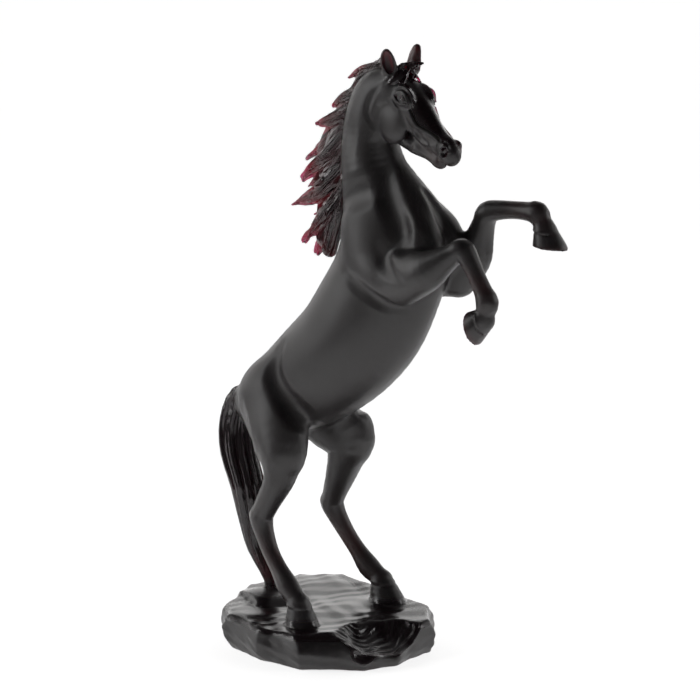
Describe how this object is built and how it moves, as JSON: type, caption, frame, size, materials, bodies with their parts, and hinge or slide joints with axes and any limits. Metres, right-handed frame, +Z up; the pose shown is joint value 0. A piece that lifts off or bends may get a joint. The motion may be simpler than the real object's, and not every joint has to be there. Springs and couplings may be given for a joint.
{
  "type": "rearing horse sculpture",
  "caption": "Horse rearing on its hind legs, mane flying and tail down to a rough piece of rock, cast in one piece of dark ruby crystal with a flat underside.",
  "frame": {"origin": "on the flat underside of the rock, below the horse's middle plane", "axes": "+Z up, +X the way the horse faces, +Y its left side"},
  "size_m": [0.2371, 0.1231, 0.3518],
  "materials": {
    "crystal": "satin, with mane, tail, forehead and rock top polished"
  },
  "bodies": {
    "root": {"rearing_horse": "crystal"}
  },
  "joints": []
}
